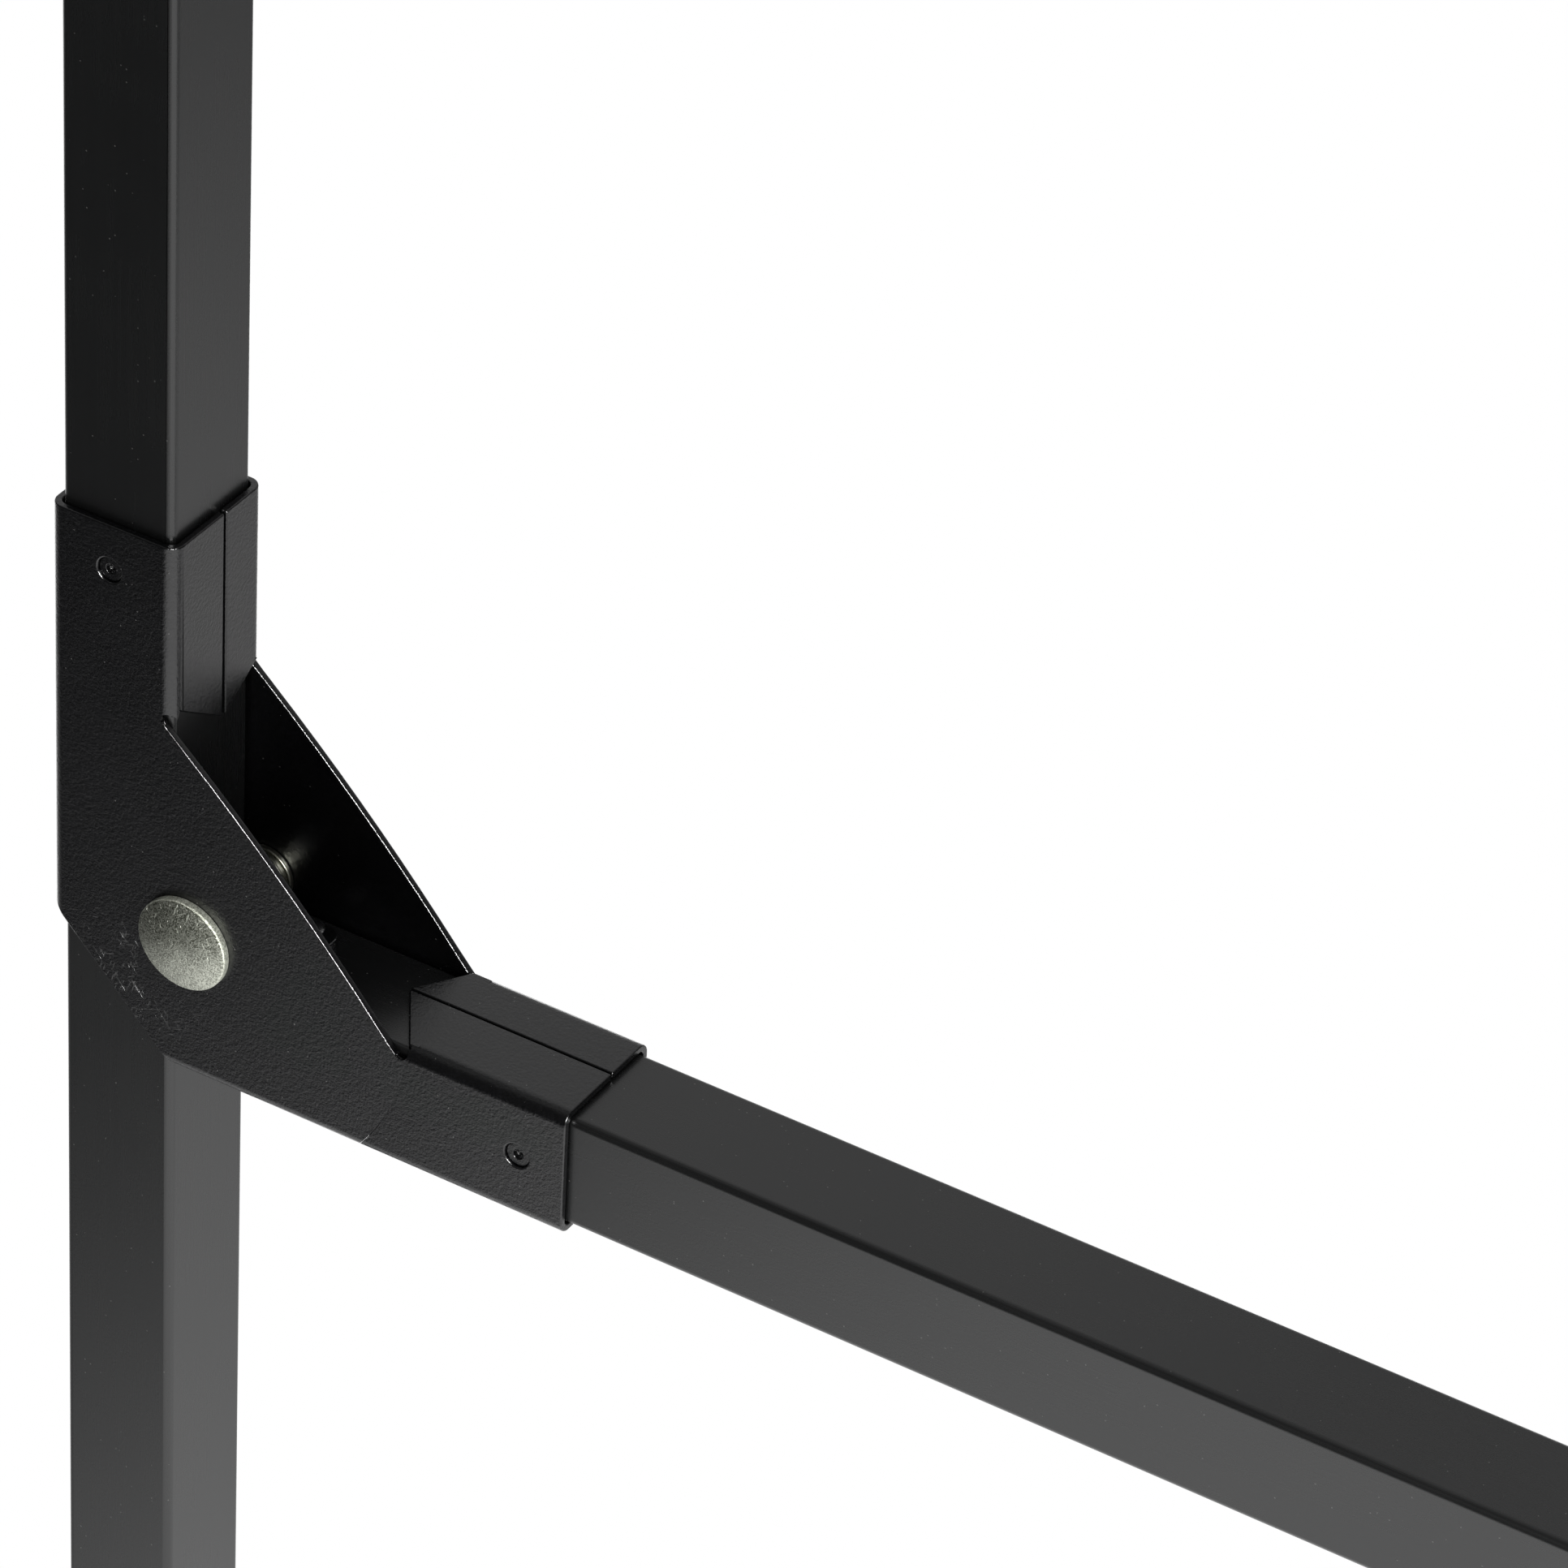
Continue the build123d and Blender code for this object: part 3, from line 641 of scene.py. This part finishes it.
def bolt_mesh(mirrored):
    """A shallow spherical dome, a rounded rim, a plain shank, and a helical groove at the end."""
    sphere = (head_radius**2 + head_dome**2) / (2 * head_dome)
    start = head_radius - rim_round + rim_round * cos(radians(rim_lean))
    dome_r = np.linspace(0, start, 28)
    dome_y = bolt_low.y + sphere - np.sqrt(sphere**2 - dome_r**2)
    rim_middle = dome_y[-1] + rim_round * sin(radians(rim_lean))
    end, taper = bolt_high.y, thread_taper
    shank_y = np.arange(plate_face + under_round, end - taper, 0.12 * mm)
    radii, places = profile(
        (dome_r[:-1], dome_y[:-1]),
        arc(head_radius - rim_round, rim_middle, rim_round, -rim_lean, 0),
        arc(head_radius - under_round, plate_face - under_round, under_round, 0, 90),
        (np.full(shank_y.shape, shank), shank_y),
        ([shank, shank - taper, 0], [end - taper, end, end]),
    )
    threaded = (places > nut_low.y) & (places < end - taper / 2)
    wave = np.abs((places / thread_pitch + round_turn / (2 * pi)) % 1 - 0.5) * 2
    cut = radii - thread_groove * wave * threaded
    return skin("bolt", carried_round(cut, places, round_turn, mirrored))


# %% [markdown]
# ## The flanged nut
# The profile is a flange, a neck, a body as wide as the hexagon's corners, and a cone that chamfers
# them. The flats cut the body back: at each angle the smaller of the two radii wins.

# %% Nut
nut_half_flats, nut_flange = 13 * mm / 2, (nut_high.x - nut_low.x) / 2
nut_corner, nut_top = nut_half_flats * 1.155, nut_half_flats * 0.93
nut_bore, nut_bore_chamfer = shank + 0.05 * mm, 0.5 * mm
flange_round = 0.4 * mm
neck_heights = np.array([0.85, 1.0, 1.15, 1.35, 1.5]) * mm
body_start, body_end, flats_start = 1.6 * mm, 0.95 * mm, 1.55 * mm
cone_depths = np.array([0.8, 0.6, 0.42, 0.28, 0.16, 0.06, 0.0]) * mm


def nut_mesh(mirrored):
    """Six flats over a flange; heights are taken from the flange's face and depths from the top."""
    low, high = nut_low.y, nut_high.y
    hexagon = nut_half_flats / np.cos((round_turn + pi / 6) % (pi / 3) - pi / 6)
    bore, chamfer = nut_bore, nut_bore_chamfer
    radii, places = profile(
        ([bore, nut_flange - flange_round / 2], [low, low]),
        arc(nut_flange - flange_round, low + flange_round, flange_round, -60, 60),
        (np.linspace(nut_flange - 0.5 * mm, nut_corner, 5), low + neck_heights),
        (np.full(6, nut_corner), np.linspace(low + body_start, high - body_end, 6)),
        (np.linspace(nut_corner, nut_top, 7), high - cone_depths),
        ([bore + chamfer, bore, bore, bore], [high, high - chamfer, low + chamfer, low]),
    )
    sided = (places > low + flats_start) & (radii > nut_half_flats * 0.9)
    cut = np.where(sided, np.minimum(radii, hexagon), radii)
    return skin("nut", carried_round(cut, places, round_turn, mirrored))


# %% [markdown]
# ## The washers
# Three plain rings and a spring ring, which is smaller and cut open. One plain ring stands between
# the near plate and the barrel, and the other three fill the way from the barrel to the far plate.

# %% Washers
washer_low, washer_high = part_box("pivot_washers_left")
washer_radius = (washer_high.x - washer_low.x) / 2
washer_thick, washer_step = 1.28 * mm, 1.3 * mm
washer_bore = shank + 0.15 * mm
outer_round, inner_round = 0.35 * mm, 0.1 * mm
spring_less = 0.4 * mm
spring_gap, spring_gap_at = 0.12, 2.4


def ring_mesh(outer, start, mirrored, split=False):
    """A rounded rectangle carried round the axis; a spring washer is cut open at one angle."""
    bore, end = washer_bore, start + washer_thick
    radii, places = profile(
        arc(outer - outer_round, start + outer_round, outer_round, -90, 0),
        arc(outer - outer_round, end - outer_round, outer_round, 0, 90),
        arc(bore + inner_round, end - inner_round, inner_round, 90, 180, 3),
        arc(bore + inner_round, start + inner_round, inner_round, 180, 270, 3),
    )
    if not split:
        return skin("ring", carried_round(radii, places, round_turn, mirrored), ring=True)
    turns = np.linspace(spring_gap, 2 * pi - spring_gap, 120)[None, :] + spring_gap_at
    return skin("ring", carried_round(radii, places, turns, mirrored), ring=True, split=True)


def washer_meshes(mirrored):
    last = washer_high.y - washer_thick
    return [
        ring_mesh(washer_radius, washer_low.y, mirrored),
        ring_mesh(washer_radius, last, mirrored),
        ring_mesh(washer_radius - spring_less, last - washer_step, mirrored, split=True),
        ring_mesh(washer_radius, last - 2 * washer_step, mirrored),
    ]


# %% [markdown]
# ## Both sides
# The right bracket's pieces are the left one's with Y turned round.

# %% Both sides
for suffix, mirrored in (("_left", False), ("_right", True)):
    add_piece("pivot_bolt_turned" + suffix, [bolt_mesh(mirrored)], "pivot_bolt" + suffix)
    add_piece("pivot_washers_turned" + suffix, washer_meshes(mirrored), "pivot_washers" + suffix)
    add_piece("pivot_nut_turned" + suffix, [nut_mesh(mirrored)], "pivot_nut" + suffix)
print("head", round(head_radius / mm, 2), "mm in radius, dome", round(head_dome / mm, 2), "mm high")

# %% [markdown]
# ## Camera
# A long lens from above and to the left of the bracket. The direction is given as an angle round the
# rack and one above the horizon, and the camera is rolled a little.

# %% Camera
azimuth, elevation, roll = radians(29.466), radians(35.952), radians(3.533)
camera_spot = Vector((post_front, side_y, arm_top)) + Vector((676.39, -977.61, 898.29)) * mm
back = Vector((sin(azimuth) * cos(elevation), -cos(azimuth) * cos(elevation), sin(elevation)))
level = Vector((cos(azimuth), sin(azimuth), 0))
rising = back.cross(level)
right = level * cos(roll) + rising * sin(roll)
up = back.cross(right)
camera_data = bpy.data.cameras.new("camera")
camera_data.lens, camera_data.sensor_width = 178.61, 36.0
camera_data.clip_start, camera_data.clip_end = 0.05, 50.0
camera = bpy.data.objects.new("camera", camera_data)
facing = Matrix((right, up, back)).transposed().to_4x4()
camera.matrix_world = Matrix.Translation(camera_spot) @ facing
bpy.context.scene.collection.objects.link(camera)
bpy.context.scene.camera = camera

# %% [markdown]
# ## Studio
# Black paint shows little of its own colour: what is seen is the studio mirrored in it. Under the rack
# lies a light table, bright to the right and dim to the left, which only the rack sees. Under that is
# the white floor that the camera sees.

# %% Floor and light table
floor_z = -0.60
pool_middle = (0.55, -0.85, floor_z)


def glow(name):
    """A material that only glows, and the socket for how strongly."""
    finish = Finish(name)
    emission = finish.tree.nodes.new("ShaderNodeEmission")
    surface = finish.tree.nodes["Material Output"].inputs["Surface"]
    finish.tree.links.new(emission.outputs[0], surface)
    return finish, emission


def table_light(finish):
    """How strongly the table glows, from places on it in metres. The right side has a pool of light,
    a little dimmer in a strip behind the near post. The left side has a strip at the back and a weak
    one at the front."""
    split = axes(finish, finish.place)
    x, y = split["X"], split["Y"]
    right_side = band(finish, x, -0.33, 0.03)
    pool = 0.35 + 1.9 * (1 - band(finish, far_from(finish, pool_middle), 0.25, 1.5))
    behind = band(finish, y, -0.45, 0.10)
    strip = band(finish, y, -0.35, -0.05) * (1 - band(finish, y, 0.02, 0.35))
    dimmer = (1 - 0.18 * behind) * (1 - 0.27 * strip)
    left_behind = behind * (1 - band(finish, x, -0.20, 0.0))
    left_front = band(finish, y, -0.86, -0.58) * (1 - band(finish, x, -0.10, 0.06))
    left = 0.03 + left_behind * 1.9 + left_front * 0.28
    return left + (right_side * 0.78 + behind * 0.3) * pool * dimmer


def flat_plane(name, half, z, material):
    """A square from four corners, half its side from the middle."""
    corners = [(-half, -half, z), (half, -half, z), (half, half, z), (-half, half, z)]
    mesh = bpy.data.meshes.new(name)
    mesh.from_pydata(corners, [], [(0, 1, 2, 3)])
    mesh.materials.append(material)
    plane = bpy.data.objects.new(name, mesh)
    bpy.context.scene.collection.objects.link(plane)
    return plane


white_floor, floor_glow = glow("white_floor")
floor_glow.inputs["Strength"].default_value = 1.0
floor = flat_plane("floor", 12.0, floor_z - 2 * mm, white_floor.material)
floor.visible_diffuse = floor.visible_glossy = floor.visible_shadow = False
lit_table, table_glow = glow("light_table_glow")
lit_table.feed(table_glow, {"Strength": table_light(lit_table)})
table = flat_plane("light_table", 3.0, floor_z, lit_table.material)
table.visible_camera = table.visible_shadow = False

# %% [markdown]
# ## The room
# The room is brightest high up behind the rack and dim elsewhere, and the camera sees it as plain
# white.

# %% Room light
brightest_way = (-0.40, 0.70, 0.59)
glow_range = {"From Min": 0.15, "From Max": 0.95, "To Min": 0.07, "To Max": 0.68}

world = bpy.data.worlds.new("studio")
world.use_nodes = True
bpy.context.scene.world = world
room = world.node_tree
background = room.nodes["Background"]
background.inputs["Color"].default_value = (1, 1, 1, 1)
coords = room.nodes.new("ShaderNodeTexCoord")
toward = room.nodes.new("ShaderNodeVectorMath")
toward.operation = "DOT_PRODUCT"
toward.inputs[1].default_value = brightest_way
room.links.new(coords.outputs["Generated"], toward.inputs[0])
ramp = room.nodes.new("ShaderNodeMapRange")
ramp.interpolation_type = "SMOOTHSTEP"
for socket, value in glow_range.items():
    ramp.inputs[socket].default_value = value
room.links.new(toward.outputs["Value"], ramp.inputs["Value"])
path = room.nodes.new("ShaderNodeLightPath")
seen = room.nodes.new("ShaderNodeMix")
seen.inputs["B"].default_value = 1.0
room.links.new(path.outputs["Is Camera Ray"], seen.inputs["Factor"])
room.links.new(ramp.outputs[0], seen.inputs["A"])
room.links.new(seen.outputs[0], background.inputs["Strength"])

# %% [markdown]
# ## The soft box
# One square light over the camera's right shoulder draws the thin bright lines along the sheet's cut
# edges. Only shiny surfaces answer to it, so it doesn't lift the black of the paint.

# %% Soft box
key_side, key_power, key_distance = 0.5, 85.0, 1.5
key_way = Vector((0.60, -0.69, 0.41)).normalized()
key_data = bpy.data.lights.new("soft_box", "AREA")
key_data.shape, key_data.size, key_data.energy = "SQUARE", key_side, key_power
key = bpy.data.objects.new("soft_box", key_data)
key_spot = pivot + Vector((0, side_y, 0)) + key_way * key_distance
key_facing = key_way.to_track_quat("Z", "Y").to_matrix().to_4x4()
key.matrix_world = Matrix.Translation(key_spot) @ key_facing
bpy.context.scene.collection.objects.link(key)
key.visible_diffuse = False

bpy.context.scene.view_settings.view_transform = "Standard"
